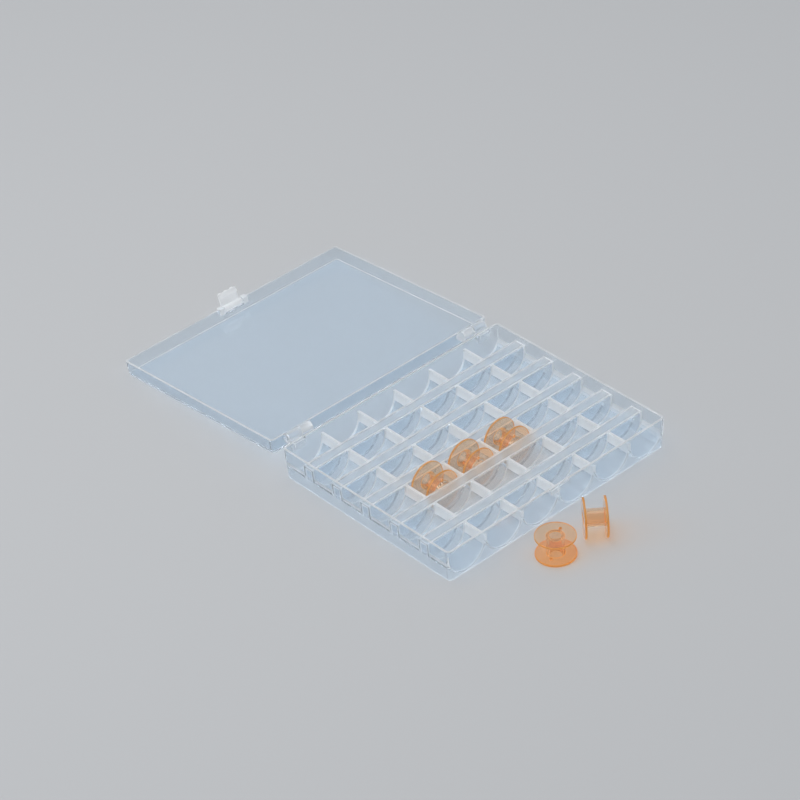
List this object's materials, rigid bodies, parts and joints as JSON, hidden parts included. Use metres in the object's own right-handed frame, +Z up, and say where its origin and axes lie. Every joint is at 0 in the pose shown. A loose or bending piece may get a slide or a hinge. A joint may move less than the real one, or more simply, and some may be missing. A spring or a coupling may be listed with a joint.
{
  "type": "bobbin storage box",
  "caption": "Shallow clear hinged box with scalloped pockets for sewing-machine bobbins, snap latch, lid lying open, amber bobbins in and beside it.",
  "frame": {"origin": "middle of the tray's underside, on the table", "axes": "+X along the hinge, +Y from the latch side to the hinge, where the open lid lies, +Z up"},
  "size_m": [0.1472, 0.2903, 0.022],
  "materials": {
    "tray": "clear moulded polypropylene",
    "lid": "clear moulded polypropylene",
    "latch": "milky moulded polypropylene",
    "bobbin": "clear amber moulded plastic"
  },
  "bodies": {
    "tray": {"tray": "tray"},
    "lid": {"lid": "lid"},
    "latch": {"latch": "latch"},
    "bobbin_left": {"bobbin_left": "bobbin"},
    "bobbin_middle": {"bobbin_middle": "bobbin"},
    "bobbin_right": {"bobbin_right": "bobbin"},
    "bobbin_flat": {"bobbin_flat": "bobbin"},
    "bobbin_standing": {"bobbin_standing": "bobbin"}
  },
  "joints": [
    {"name": "lid_hinge", "type": "hinge", "parent": "tray", "child": "lid", "pos_m": [0, 0.06415, 0.01802], "axis": [-1, 0, 0], "range_deg": [-184.43, 0]},
    {"name": "latch_pivot", "type": "hinge", "parent": "lid", "child": "latch", "pos_m": [0, 0.18791, 0.00624], "axis": [-1, 0, 0], "range_deg": [-15, 60]},
    {"name": "bobbin_left_lift", "type": "slide", "parent": "tray", "child": "bobbin_left", "axis": [0, 0, 1], "range_m": [0, 0.022]},
    {"name": "bobbin_middle_lift", "type": "slide", "parent": "tray", "child": "bobbin_middle", "axis": [0, 0, 1], "range_m": [0, 0.022]},
    {"name": "bobbin_right_lift", "type": "slide", "parent": "tray", "child": "bobbin_right", "axis": [0, 0, 1], "range_m": [0, 0.022]},
    {"name": "bobbin_flat_lift", "type": "slide", "parent": "tray", "child": "bobbin_flat", "axis": [0, 0, 1], "range_m": [0, 0.03]},
    {"name": "bobbin_standing_lift", "type": "slide", "parent": "tray", "child": "bobbin_standing", "axis": [0, 0, 1], "range_m": [0, 0.03]}
  ]
}
